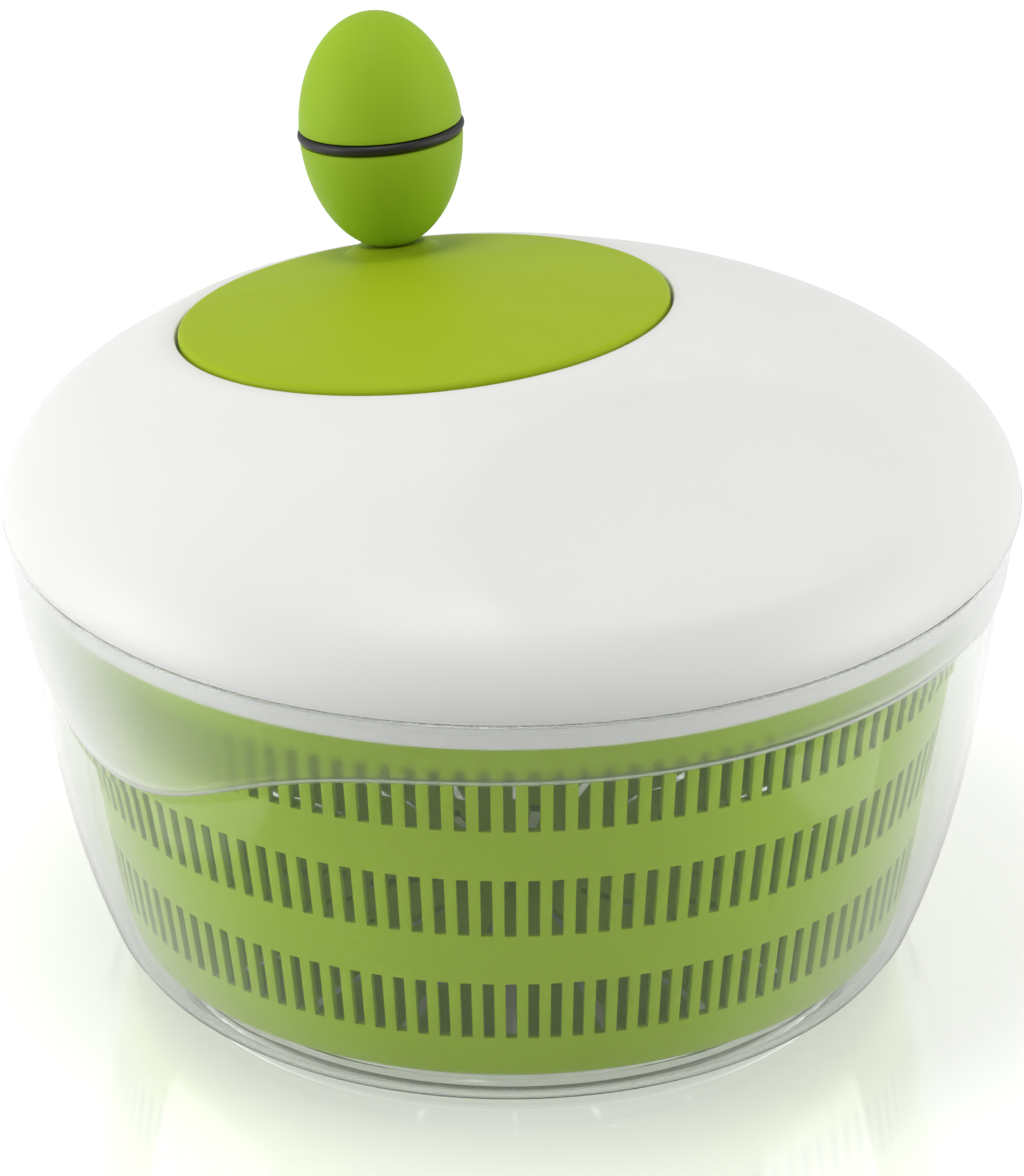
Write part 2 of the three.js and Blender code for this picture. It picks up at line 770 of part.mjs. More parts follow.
const crank = new THREE.Group();
crank.applyMatrix4(crankFrame);
crank.add(
  piece('crank_disc', makeCrankDisc(), greenSatin),
  piece('crank_ring_gear', makeRingGear(), acetal),
  ...makeWebScrews(),
  piece('crank_bush', makeCrankBush(), acetal),
  piece('crank_washer', sleeve(PILOT_RADIUS, 9.4, WEB_TOP + GAP, WEB_TOP + GAP + 1), steel),
  invertedScrew('crank_screw', 0, 0, WEB_TOP + 2 * GAP + 1, screw(4, 2.2, 13)),
);

const knob = new THREE.Group();
knob.position.set(KNOB_X, KNOB_Y, collarTop);
knob.add(
  piece('knob_lower_half', makeKnobLower(), greenSatin),
  piece('knob_upper_half', makeKnobUpper(), greenSatin),
  piece('knob_ring', makeKnobRing(), blackRubber),
  piece('knob_bush', makeKnobBush(), acetal),
  piece('knob_spindle', makeKnobSpindle(), steel),
  piece('knob_washer', sleeve(PILOT_RADIUS, 6, 27.6, 28.5, SCREW_FACETS), steel),
  invertedScrew('knob_screw', 0, 0, 28.8, screw(3.6, 2, 11)),
);
crank.add(knob);
spinner.add(crank);

export default spinner;
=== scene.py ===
"""Looks of the salad spinner.

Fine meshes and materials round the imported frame, with a floor, lights and a camera. Sizes are in
millimetres unless a name or comment says otherwise; MM turns them into Blender's metres.
"""

import json
import math

import bmesh
import bpy
import numpy as np
from mathutils import Matrix, Vector


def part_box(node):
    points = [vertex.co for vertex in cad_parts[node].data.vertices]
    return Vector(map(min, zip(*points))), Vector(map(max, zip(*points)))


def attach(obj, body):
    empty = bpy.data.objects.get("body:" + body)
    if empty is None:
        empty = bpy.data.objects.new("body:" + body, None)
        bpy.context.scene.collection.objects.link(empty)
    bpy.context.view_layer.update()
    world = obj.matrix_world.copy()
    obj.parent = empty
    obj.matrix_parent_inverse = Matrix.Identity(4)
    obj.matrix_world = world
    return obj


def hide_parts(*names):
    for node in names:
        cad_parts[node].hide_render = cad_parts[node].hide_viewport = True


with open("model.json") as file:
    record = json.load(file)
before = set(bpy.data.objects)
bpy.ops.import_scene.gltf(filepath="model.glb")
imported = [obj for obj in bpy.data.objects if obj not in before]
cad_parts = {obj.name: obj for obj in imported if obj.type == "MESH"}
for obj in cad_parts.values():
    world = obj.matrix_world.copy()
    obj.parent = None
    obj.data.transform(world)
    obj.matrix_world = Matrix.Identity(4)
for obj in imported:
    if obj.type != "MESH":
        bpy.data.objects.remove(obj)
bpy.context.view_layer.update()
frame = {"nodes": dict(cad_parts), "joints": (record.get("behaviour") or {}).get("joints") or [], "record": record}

MM = 0.001
TURN = 2 * math.pi


def record_joint(name):
    return next(joint for joint in frame["joints"] if joint["name"] == name)


# ---------------------------------------------------------------- sizes, in millimetres
BOWL_WALL = 2.3
BOWL_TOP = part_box("bowl")[1].z / MM
LID_GAP = 0.6
RIM_Z = BOWL_TOP + LID_GAP  # the edge of the lid, the widest circle
RIM_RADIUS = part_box("lid_cover")[1].x / MM
DOME_HEIGHT = 44.4
DOME_POWER = 1.02
LID_WALL = 2.5

CRANK_CENTRE = Vector(record_joint("crank_spin")["pos_m"]) / MM
CRANK_AXIS = Vector(record_joint("crank_spin")["axis"])
TILT = math.atan2(CRANK_AXIS.y, CRANK_AXIS.z)
DISC_HOLE = 64.4  # radius
DISC_RADIUS = 63.6
DISC_EDGE_Z = 1.4
DISC_EDGE_ROUNDING = 1.8
DISC_CROWN = 4.5
DISC_SKIRT_Z = -9
DISC_WALL = 2.4

KNOB_BASE = Vector(record_joint("knob_spin")["pos_m"]) / MM
COLLAR_RADIUS = 8.6
COLLAR_FLARE = 5
COLLAR_HEIGHT = 2
EGG_RADIUS = 21.5
EGG_WAIST = 31.3
EGG_TOP = 62.8
EGG_LOWER_AXIS = 32.2
EGG_WALL = 2.2
KNOB_BORE = 5
RING_SECTION = 1.4

BASKET_WALL = 2
SLOTS = 120
SLOT_PHASE = math.radians(0.5)


# ---------------------------------------------------------------- mesh helpers
MERGE_DISTANCE = 2e-6  # metres
SHORTEST_EDGE = 1e-7  # metres
SHARP_DEGREES = 35
TURNED_ROUNDING = 0.4
NEARLY_STRAIGHT = math.radians(88)  # half the angle of a corner that isn't worth rounding
ARC_REACH = 0.45  # the share of a side that a corner's arc may take


def clean_object(name, vertices, faces):
    """A mesh object from points, with doubled points merged and faces turned outward."""
    mesh = bpy.data.meshes.new(name)
    mesh.from_pydata((np.asarray(vertices) * MM).tolist(), [], faces)
    made = bpy.data.objects.new(name, mesh)
    bpy.context.scene.collection.objects.link(made)
    work = bmesh.new()
    work.from_mesh(mesh)
    bmesh.ops.remove_doubles(work, verts=work.verts, dist=MERGE_DISTANCE)
    bmesh.ops.dissolve_degenerate(work, edges=work.edges, dist=SHORTEST_EDGE)
    bmesh.ops.recalc_face_normals(work, faces=work.faces)
    work.to_mesh(mesh)
    work.free()
    shade_smooth(made, SHARP_DEGREES)
    return made


def shade_smooth(made, sharp_degrees):
    """Smooth shading that stays sharp where faces meet at more than sharp_degrees."""
    made.data.polygons.foreach_set("use_smooth", [True] * len(made.data.polygons))
    made.data.set_sharp_from_angle(angle=math.radians(sharp_degrees))


def grid_faces(rows, columns, wrap_rows=False, keep=None):
    """Quads of a grid whose columns wrap round. keep(row, column) says which quads stay."""
    faces = []
    for row in range(rows if wrap_rows else rows - 1):
        upper = (row + 1) % rows
        for column in range(columns):
            if keep is not None and not keep(row, column):
                continue
            beside = (column + 1) % columns
            corners = (row * columns + column, row * columns + beside)
            corners += (upper * columns + beside, upper * columns + column)
            faces.append(corners)
    return faces


def surface(name, points, wrap_rows=False, keep=None):
    """An object from a (rows, columns, 3) array of points."""
    points = np.asarray(points, float)
    rows, columns = points.shape[:2]
    faces = grid_faces(rows, columns, wrap_rows, keep)
    return clean_object(name, points.reshape(-1, 3), faces)


def angles(count):
    return np.arange(count) * TURN / count


def revolve(profile, columns, phase=0):
    """Points of a profile of (radius, height) turned about Z."""
    theta = angles(columns) + phase
    radius, height = np.asarray(profile, float).T
    across = radius[:, None] * np.cos(theta)
    along = radius[:, None] * np.sin(theta)
    return np.stack([across, along, np.repeat(height[:, None], columns, 1)], 2)


def rounded(points, radius=0.5, steps=4, closed=False):
    """The polyline with each corner turned into an arc.

    A point may carry its own arc radius as a third value.
    """
    path = [np.array(point[:2], float) for point in points]
    radii = [point[2] if len(point) > 2 else radius for point in points]
    result = []
    count = len(path)
    for i, corner in enumerate(path):
        if not closed and i in (0, count - 1):
            result.append(corner)
            continue
        before, after = path[i - 1] - corner, path[(i + 1) % count] - corner
        reach_before, reach_after = np.linalg.norm(before), np.linalg.norm(after)
        before, after = before / reach_before, after / reach_after
        half = math.acos(np.clip(before @ after, -1, 1)) / 2
        if radii[i] <= 0 or half > NEARLY_STRAIGHT:
            result.append(corner)
            continue
        cut = min(radii[i] / math.tan(half), ARC_REACH * reach_before, ARC_REACH * reach_after)
        start, end = corner + before * cut, corner + after * cut
        for t in np.linspace(0, 1, steps + 1):
            result.append((1 - t) ** 2 * start + 2 * t * (1 - t) * corner + t**2 * end)
    return result


def turned(name, profile, columns, closed=True):
    """A turned piece. A closed profile is a ring; an open one starts and ends on the axis."""
    path = rounded(profile, TURNED_ROUNDING, closed=closed)
    return surface(name, revolve(path, columns), wrap_rows=closed)


def joined(name, parts):
    """One object made of several closed shells."""
    bpy.ops.object.select_all(action="DESELECT")
    for part in parts:
        part.select_set(True)
    bpy.context.view_layer.objects.active = parts[0]
    bpy.ops.object.join()
    parts[0].name = name
    parts[0].data.name = name
    return parts[0]


def apply_modifiers(made):
    bpy.context.view_layer.update()
    settled = made.evaluated_get(bpy.context.evaluated_depsgraph_get())
    mesh = bpy.data.meshes.new_from_object(settled)
    made.modifiers.clear()
    made.data = mesh


def smoothstep(value):
    value = np.clip(value, 0, 1)
    return value * value * (3 - 2 * value)


def crank_place(points):
    """Points of the crank frame, whose Z is the crank axis, in the row frame."""
    points = np.asarray(points, float)
    x, y, z = points[..., 0], points[..., 1], points[..., 2]
    up, out = math.cos(TILT), math.sin(TILT)
    tilted = np.stack([x, y * up + z * out, z * up - y * out], -1)
    return tilted + np.array(CRANK_CENTRE[:])


def to_crank(point):
    """A point of the row frame in the crank frame."""
    x, y, z = (point - CRANK_CENTRE)[:]
    up, out = math.cos(TILT), math.sin(TILT)
    return Vector((x, y * up - z * out, y * out + z * up))


KNOB_SPOT = to_crank(KNOB_BASE)


def move_points(made, place):
    """Moves a piece's points by place(points)."""
    points = np.array([vertex.co[:] for vertex in made.data.vertices]) / MM
    for vertex, moved in zip(made.data.vertices, place(points) * MM):
        vertex.co = moved
    return made


def finish_piece(made, body, node, slot, material=None):
    """Puts a piece under its body, hides the CAD node it stands for, and gives it the material of the record's
    slot or the one named instead.
    """
    made.data.materials.clear()
    made.data.materials.append(MATERIALS[material or slot])
    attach(made, body)
    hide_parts(node)
    return made


# ---------------------------------------------------------------- materials
NOISE_LOW, NOISE_HIGH = 0.3, 0.7  # where nearly all of a noise texture's values lie
TONE_LOW, TONE_HIGH = 0.35, 0.65
CLEAR_IOR = 1.47
MILKY_FROM, MILKY_TO = 0.35, 0.9  # of Layer Weight's facing: from face on to grazing
GLOSS_SPREAD = 0.03


def map_range(tree, source, span, results, interpolation="LINEAR"):
    """A node that turns source, over the span of two numbers, into a number between two results."""
    node = tree.nodes.new("ShaderNodeMapRange")
    node.interpolation_type = interpolation
    for socket, value in zip(("From Min", "From Max", "To Min", "To Max"), (*span, *results)):
        node.inputs[socket].default_value = value
    tree.links.new(source, node.inputs["Value"])
    return node.outputs["Result"]


class Shader:
    """A material with one Principled shader and short calls for the nodes that feed it."""

    def __init__(self, name, **values):
        self.material = bpy.data.materials.new(name)
        self.material.use_nodes = True
        self.tree = self.material.node_tree
        self.main = self.tree.nodes["Principled BSDF"]
        for key, value in values.items():
            self.main.inputs[key.replace("_", " ")].default_value = value
        self.coordinates = self.tree.nodes.new("ShaderNodeTexCoord").outputs["Object"]

    def link(self, source, target):
        self.tree.links.new(source, target)

    def noise(self, scale, detail=3, roughness=0.5, stretch=(1, 1, 1)):
        mapping = self.tree.nodes.new("ShaderNodeMapping")
        mapping.inputs["Scale"].default_value = stretch
        texture = self.tree.nodes.new("ShaderNodeTexNoise")
        texture.inputs["Scale"].default_value = scale
        texture.inputs["Detail"].default_value = detail
        texture.inputs["Roughness"].default_value = roughness
        self.link(self.coordinates, mapping.inputs["Vector"])
        self.link(mapping.outputs["Vector"], texture.inputs["Vector"])
        return texture.outputs["Fac"]

    def uneven_gloss(self, source, low, high):
        """Roughness from low to high, as the noise goes."""
        result = map_range(self.tree, source, (NOISE_LOW, NOISE_HIGH), (low, high))
        self.link(result, self.main.inputs["Roughness"])

    def two_tones(self, source, first, second):
        ramp = self.tree.nodes.new("ShaderNodeValToRGB")
        low, high = ramp.color_ramp.elements
        low.position, high.position = TONE_LOW, TONE_HIGH
        low.color, high.color = (*first, 1), (*second, 1)
        self.link(source, ramp.inputs["Fac"])
        self.link(ramp.outputs["Color"], self.main.inputs["Base Color"])

    def bump(self, source, distance):
        """Relief of the given height in metres."""
        node = self.tree.nodes.new("ShaderNodeBump")
        node.inputs["Distance"].default_value = distance
        node.inputs["Strength"].default_value = 1
        self.link(source, node.inputs["Height"])
        self.link(node.outputs["Normal"], self.main.inputs["Normal"])


def tinted(color, factor):
    return tuple(min(1, channel * factor) for channel in color)


def moulded(name, color, roughness, grain=0.000004, vary=0.02, **values):
    """Moulded plastic: a faintly cloudy colour, uneven gloss and a fine spark-eroded grain."""
    shader = Shader(name, **values)
    shader.two_tones(shader.noise(18, 2), tinted(color, 1 - vary), tinted(color, 1 + vary))
    shader.uneven_gloss(shader.noise(60, 4), roughness - GLOSS_SPREAD, roughness + GLOSS_SPREAD)
    shader.bump(shader.noise(2600, 2, 0.6), grain)
    return shader.material


def clear_material(name, roughness, milkiness, color=(0.975, 0.98, 0.985)):
    """Clear plastic, milky at grazing angles, that lets the lamps' light straight through."""
    shader = Shader(name, IOR=CLEAR_IOR)
    tree = shader.tree
    shader.main.inputs["Base Color"].default_value = (*color, 1)
    facing = tree.nodes.new("ShaderNodeLayerWeight")
    facing.inputs["Blend"].default_value = 0.5
    clearness = map_range(
        tree, facing.outputs["Facing"], (MILKY_FROM, MILKY_TO), (1, 1 - milkiness), "SMOOTHSTEP"
    )
    shader.link(clearness, shader.main.inputs["Transmission Weight"])
    shader.uneven_gloss(shader.noise(40, 3), roughness * 0.9, roughness * 1.1)
    shader.bump(shader.noise(25, 2), 0.00003)
    path = tree.nodes.new("ShaderNodeLightPath")
    through = tree.nodes.new("ShaderNodeBsdfTransparent")
    through.inputs["Color"].default_value = (0.96, 0.97, 0.96, 1)
    mix = tree.nodes.new("ShaderNodeMixShader")
    either = tree.nodes.new("ShaderNodeMath")
    either.operation = "MAXIMUM"
    shader.link(path.outputs["Is Shadow Ray"], either.inputs[0])
    shader.link(path.outputs["Is Diffuse Ray"], either.inputs[1])
    shader.link(either.outputs["Value"], mix.inputs["Fac"])
    shader.link(shader.main.outputs["BSDF"], mix.inputs[1])
    shader.link(through.outputs["BSDF"], mix.inputs[2])
    shader.link(mix.outputs["Shader"], tree.nodes["Material Output"].inputs["Surface"])
    return shader.material


def rubber_material():
    shader = Shader("black_rubber")
    shader.two_tones(shader.noise(90, 3), (0.010, 0.010, 0.011), (0.016, 0.016, 0.017))
    shader.uneven_gloss(shader.noise(200, 3), 0.42, 0.58)
    shader.bump(shader.noise(1800, 3), 0.00001)
    return shader.material


def steel_material():
    shader = Shader("steel", Metallic=1.0)
    shader.two_tones(shader.noise(70, 3), (0.52, 0.52, 0.53), (0.62, 0.62, 0.63))
    streaks = shader.noise(900, 2, stretch=(1, 1, 0.05))
    shader.uneven_gloss(streaks, 0.24, 0.4)
    shader.bump(streaks, 0.000006)
    return shader.material


MATERIALS = {
    "clear_plastic": clear_material("clear_plastic", 0.02, 0.35),
    "frosted_collar": clear_material("frosted_collar", 0.4, 0.75),
    # the rim's grey tint is painted shade: a dark line along the gap under the lid's edge
    "rim_painted_shadow": clear_material("rim_painted_shadow", 0.05, 0.0, (0.62, 0.63, 0.63)),
    "green_satin": moulded(
        "green_satin", (0.318, 0.505, 0.022), 0.5, vary=0.015, Specular_IOR_Level=0.12
    ),
    # a yellower copy of green_satin for the disc: painted light, the tone of the well-lit top rather than another
    # plastic
    "green_disc_painted_light": moulded(
        "green_disc_painted_light", (0.37, 0.495, 0.012), 0.5, vary=0.015, Specular_IOR_Level=0.12
    ),
    "green_gloss": moulded(
        "green_gloss",
        (0.345, 0.525, 0.012),
        0.3,
        grain=0.000002,
        vary=0.03,
        Specular_IOR_Level=0.15,
    ),
    "white_satin": moulded("white_satin", (0.85, 0.845, 0.83), 0.42, vary=0.008),
    "acetal": moulded("acetal", (0.72, 0.70, 0.65), 0.4, vary=0.03),
    "steel": steel_material(),
    "black_rubber": rubber_material(),
}


# ---------------------------------------------------------------- bowl
WALL_FOOT_RADIUS, WALL_FOOT_Z = 105.7, 11  # where the wall rises from the floor's corner
BOWL_BODY = np.polyfit(  # the wall's radius over its height
    [WALL_FOOT_Z, 30, 60, 90, 107], [WALL_FOOT_RADIUS, 112.2, 119.2, 123.5, 125.7], 3
)
# (radius, height, rounding) points from the axis out, and back in to the pin's tip
BOWL_UNDERSIDE = (
    (0, 3.3),
    (87.6, 3.3, 1.2),
    (88.4, 0, 0.8),
    (91.4, 0, 0.8),
    (92, 2.4, 1.5),
    (101, 4.1, 9),
)
BOWL_FLOOR = ((99.6, 5.6, 9), (10, 5.6, 3), (4.3, 9, 0.6), (3.9, 16.6, 1), (2.6, 18, 0.8), (0, 18))
BOWL_COLUMNS = 288
COLLAR_STEP = 1.0
HALF_STEP = 1.0  # of the crease's height
CREASE_Z = RIM_Z - 17.1
SPOUT_AZIMUTH = math.radians(182)
SPOUT_DROP = 24.9
SPOUT_WIDTH = math.radians(23.5)
SPOUT_SHOULDER = 2.2  # the power that squares the spout's outline
SPOUT_FLARE = 1.6
FROSTED, RIM_PAINTED_SHADOW_SLOT = 1, 2  # material slots of the collar and of the rim, whose grey tint is a painted shadow line under the lid's edge


def spout_share(theta):
    """1 in the middle of the pour spout and 0 away from it."""
    away = np.abs((theta - SPOUT_AZIMUTH + math.pi) % TURN - math.pi)
    return np.exp(-((away / SPOUT_WIDTH) ** SPOUT_SHOULDER))


def make_bowl():
    theta = angles(BOWL_COLUMNS)
    share = spout_share(theta)
    crease = CREASE_Z - SPOUT_DROP * share
    top = BOWL_TOP - BOWL_WALL / 2
    foot_z, low, high = WALL_FOOT_Z, crease - HALF_STEP, crease + HALF_STEP
    wall = [foot_z + t * (low - foot_z) for t in np.linspace(0, 1, 24)]
    step = [low + t * 2 * HALF_STEP for t in np.linspace(0, 1, 7)[1:]]
    collar = [high + t * (top - crease - HALF_STEP) for t in np.linspace(0, 1, 14)[1:]]
    heights = np.array(wall + step + collar)

    rise = np.clip((heights - crease) / (top - crease), 0, 1)
    outward = COLLAR_STEP + SPOUT_FLARE * share * np.sin(math.pi * rise)
    stepped = smoothstep((heights - crease + HALF_STEP) / (2 * HALF_STEP))
    radius = np.polyval(BOWL_BODY, heights) + outward * stepped

    def ring(r, z):
        r, z = np.broadcast_to(r, theta.shape), np.broadcast_to(z, theta.shape)
        return np.stack([r * np.cos(theta), r * np.sin(theta), z], 1)

    underside = rounded([*BOWL_UNDERSIDE, (WALL_FOOT_RADIUS, WALL_FOOT_Z)])
    floor = rounded([(WALL_FOOT_RADIUS - BOWL_WALL, WALL_FOOT_Z), *BOWL_FLOOR])
    outer = [ring(r, z) for r, z in underside[:-1]] + [ring(r, z) for r, z in zip(radius, heights)]
    half_wall = BOWL_WALL / 2
    middle = radius[-1] - half_wall
    rim = [
        ring(middle + half_wall * math.cos(t), top + half_wall * math.sin(t))
        for t in np.linspace(0, math.pi, 9)[1:-1]
    ]
    inner = [ring(r - BOWL_WALL, z) for r, z in zip(radius[::-1], heights[::-1])]
    inside = [ring(r, z) for r, z in floor[1:]]
    bowl = surface("bowl_clear", np.array(outer + rim + inner + inside))
    finish_piece(bowl, "bowl", "bowl", "clear_plastic")
    bowl.data.materials.append(MATERIALS["frosted_collar"])
    bowl.data.materials.append(MATERIALS["rim_painted_shadow"])
    for face in bowl.data.polygons:
        face.material_index = bowl_material(face)


def bowl_material(face):
    """Frosted outside the wall above the crease, and darker on the rolled rim as a painted shadow line under the
    lid's edge.
    """
    x, y, z = face.center / MM
    crease = CREASE_Z - SPOUT_DROP * float(spout_share(math.atan2(y, x)))
    outside = face.normal.x * x + face.normal.y * y > 0
    # the rolled rim takes the grey tinted material, a painted shadow line
    if z > BOWL_TOP - BOWL_WALL / 3:
        return RIM_PAINTED_SHADOW_SLOT
    if outside and crease - HALF_STEP < z < BOWL_TOP - BOWL_WALL:
        return FROSTED
    return 0


# ---------------------------------------------------------------- basket
SLOT_ROWS = ((105.9, 88.6), (74, 56.9), (42.1, 25.4))  # tops and bottoms
BASKET_COLUMNS = 2 * SLOTS
FLOOR_Z = 12
BASKET_FOOT_Z, BASKET_NECK_Z = 20, 111  # of the wall between the floor's corner and the rim
OUTER_FLOOR_SLOTS = (44, 86)
INNER_FLOOR_SLOTS = (19.7, 38)
BASKET_BEVEL = 0.28
BASKET_SHARP_DEGREES = 40

LUGS = 6
LUG_WIDTH = 12
RIB_CLEARANCE = 1.4  # between a lug's side and the middle of the rib beside it
RIB_RADIUS = 113.6


def basket_profile():
    """(radius, height) points up the outside of the basket, with a point at every slot's end."""
    foot, neck = BASKET_FOOT_Z, BASKET_NECK_Z
    hub = rounded([(0, 22.4), (7.6, 22, 1), (11, FLOOR_Z, 1.5), (19.8, FLOOR_Z)], steps=3)
    floor = [(r, FLOOR_Z) for r in (38, 44, 65, 86, 92)]
    corner = rounded([(92, FLOOR_Z), (101.4, FLOOR_Z, 9), (103.5, foot)], steps=6)[1:-1]
    heights = [foot, 22.7, 25.4, 33.7, 42.1, 46, 49.5, 53, 56.9]
    heights += [65.4, 74, 77.5, 81, 84.8, 88.6, 97.2, 105.9, neck]
    radii = np.interp(heights, [foot, 49.5, 81, neck], [103.5, 107.7, 113, 116.8])
    rise = np.clip((np.array(heights) - foot) / (neck - foot), 0, 1)
    bulge = 0.35 * np.sin(np.pi * rise)
    rim = [(116.8, neck), (117.4, 115.2, 0.8), (119.2, 116.4, 0.5), (119.2, 118.8)]
    return hub + floor + corner + list(zip(radii + bulge, heights)) + rounded(rim, steps=3)[1:]


def make_basket():
    profile = basket_profile()

    def keep(row, column):
        """False where a slot opens the wall or the floor."""
        (inner, low), (outer, high) = profile[row], profile[row + 1]
        if column % 2 == 1:
            for top, bottom in SLOT_ROWS:
                if low >= bottom - 0.01 and high <= top + 0.01:
                    return False
        flat = low == high == FLOOR_Z
        if flat and inner >= OUTER_FLOOR_SLOTS[0] and outer <= OUTER_FLOOR_SLOTS[1]:
            return column % 12 not in (0, 1)
        if flat and inner >= INNER_FLOOR_SLOTS[0] and outer <= INNER_FLOOR_SLOTS[1]:
            return column % 24 not in (5, 6, 7, 8)
        return True

    points = revolve(profile, BASKET_COLUMNS, SLOT_PHASE - 1.5 * TURN / BASKET_COLUMNS)
    shell = surface("basket_green", points, keep=keep)
    thick = shell.modifiers.new("wall", "SOLIDIFY")
    thick.thickness = BASKET_WALL * MM
    thick.offset = -1
    thick.use_even_offset = False
    soft = shell.modifiers.new("edges", "BEVEL")
    soft.width = BASKET_BEVEL * MM
    soft.segments = 2
    soft.limit_method = "ANGLE"
    soft.angle_limit = math.radians(50)
    apply_modifiers(shell)
    socket_top = FLOOR_Z + 0.6
    socket = turned("socket", [(7, 8.8), (10, 8.8), (10.4, socket_top), (7, socket_top)], 48)
    ribs = [drive_rib(TURN * lug / LUGS, side) for lug in range(LUGS) for side in (-1, 1)]
    basket = joined("basket_green", [shell, socket, *ribs])
    shade_smooth(basket, BASKET_SHARP_DEGREES)
    finish_piece(basket, "basket", "basket", "green_gloss")


def bar(name, size, centre, turn, bevel=0.3):
    """A box with rounded edges, turned about Z through the origin."""
    corners = [(x, y, z) for x in (-1, 1) for y in (-1, 1) for z in (-1, 1)]
    points = np.array(corners) * (np.array(size) / 2) + np.array(centre)
    cosine, sine = math.cos(turn), math.sin(turn)
    spun = [(x * cosine - y * sine, x * sine + y * cosine, z) for x, y, z in points]
    faces = [(0, 1, 3, 2), (4, 6, 7, 5), (0, 4, 5, 1), (2, 3, 7, 6), (0, 2, 6, 4), (1, 5, 7, 3)]
    made = clean_object(name, spun, faces)
    edge = made.modifiers.new("edges", "BEVEL")
    edge.width = bevel * MM
    edge.segments = 2
    apply_modifiers(made)
    return made


def drive_rib(angle, side):
    """A rib inside the basket's rim that a lug of the drive plate pushes."""
    offset = (LUG_WIDTH / 2 + RIB_CLEARANCE) / RIB_RADIUS
    return bar("rib", (4.1, 2, 6.5), (113.85, 0, 110.25), angle + side * offset)


# ---------------------------------------------------------------- lid
RECESS_Y, RECESS_X_HALF, RECESS_Y_HALF, RECESS_DEPTH = -79, 66.5, 39.5, 8
RECESS_EDGE = 0.06  # softness of the dish's edge
LID_COLUMNS = 360
HOLE_BLEND = 8  # how far from its hole the dome turns into the hole's plane


def dome_height(radius, inset=0):
    share = np.clip(1 - (radius / (RIM_RADIUS - inset)) ** 2, 0, 1)
    return RIM_Z + (DOME_HEIGHT - inset) * share ** (DOME_POWER / 2)


def recess(x, y):
    """How far the oval thumb dish sinks the dome."""
    reach = (x / RECESS_X_HALF) ** 2 + ((y - RECESS_Y) / RECESS_Y_HALF) ** 2
    sunk = 1 - reach
    return RECESS_DEPTH * 0.5 * (sunk + np.sqrt(sunk**2 + RECESS_EDGE**2))


def hole_plane(y):
    """Height of the plane of the disc's hole above a point of the plan."""
    return CRANK_CENTRE.z - (y - CRANK_CENTRE.y) * math.tan(TILT)


def ring_at(radius, height, phi):
    return np.stack([radius * np.cos(phi), radius * np.sin(phi), height + 0 * phi], 1)


def make_lid_cover():
    phi = angles(LID_COLUMNS)
    hole = crank_place(ring_at(DISC_HOLE, 0, phi))[:, :2]
    edge = np.stack([np.cos(phi), np.sin(phi)], 1)

    def sheet(inset, start, share):
        """A ring of the dome: share runs from the hole at 0 to the edge at 1."""
        inner = hole + start * edge
        plan = inner + share * ((RIM_RADIUS - inset) * edge - inner)
        x, y = plan.T
        z = dome_height(np.hypot(x, y), inset) - recess(x, y)
        if inset == 0:
            near = np.exp(-((np.linalg.norm(plan - hole, axis=1) / HOLE_BLEND) ** 2))
            z = z + near * (hole_plane(y) - z)
        return np.stack([x, y, z], 1)

    def lip(radius, height):
        return crank_place(ring_at(radius, height, phi))

    shares = np.sin(np.linspace(0, math.pi / 2, 100))
    outer = [sheet(0, 0.6, share) for share in shares]
    inner = [sheet(LID_WALL, 2.6, share) for share in shares[::-4]]
    edge_roll = [(1.8, -9), (0.4, -9), (0, -8.6), (0.0, -0.5), (0.12, -0.22), (0.32, -0.06)]
    chamfer = [
        (RIM_RADIUS, RIM_Z + 1.3),
        (RIM_RADIUS - 0.2, RIM_Z + 0.9),
        (RIM_RADIUS - 1.1, RIM_Z),
        (RIM_RADIUS - LID_WALL + 0.3, RIM_Z),
    ]
    rows = [lip(DISC_HOLE + r, z) for r, z in edge_roll]
    rows += outer[:-1] + [ring_at(r, z, phi) for r, z in chamfer] + inner[:-1]
    rows += [lip(DISC_HOLE + 2, z) for z in (-4.6, -8.7)]
    cover = surface("lid_cover_white", np.array(rows), wrap_rows=True)
    finish_piece(cover, "lid", "lid_cover", "white_satin")


def make_lid_base():
    rim = [(6.3, 121.4), (123.0, 121.4, 1), (123.3, 117), (125.3, 117), (126.4, 123, 2)]
    rim += [(126.9, 126.4), (125, 126.4), (124.4, 123.6, 1), (6.3, 123.6)]
    plate = turned("plate", rim, 256)
    tube = turned("tube", [(6.3, 117), (9, 117), (9, 141), (6.3, 141)], 64)
    webs = [bar("web", (96, 1.6, 2.6), (60, 0, 120.3), TURN * i / 6) for i in range(6)]
    base = joined("lid_base_white", [plate, tube, *webs, *crank_post()])
    finish_piece(base, "lid", "lid_base", "white_satin")


def crank_post():
    """The tilted post that carries the crank, and its gusset."""
    post = [(0, -38), (10, -38), (10, -25.6), (6, -25.6), (6, -8.5), (0, -8.5)]
    shoulder = move_points(turned("shoulder", post, 48, closed=False), crank_place)
    return [shoulder, bar("gusset", (20, 3, 11), (17, 0, 127.5), math.pi / 2)]


# ---------------------------------------------------------------- crank disc and knob
DISC_COLUMNS = 192
KNOB_COLUMNS = 128
COLLAR_CURVE = 1.3
COLLAR_CHAMFER = 0.5
SEAM_GAP = 0.2  # between the black ring and the halves of the egg
SEAM_LIP = 0.12
SPIGOT_RISE = 1.5  # of the lower half's spigot above the seam


def disc_top(radius):
    return DISC_EDGE_Z + DISC_CROWN * (1 - (radius / DISC_RADIUS) ** 2)


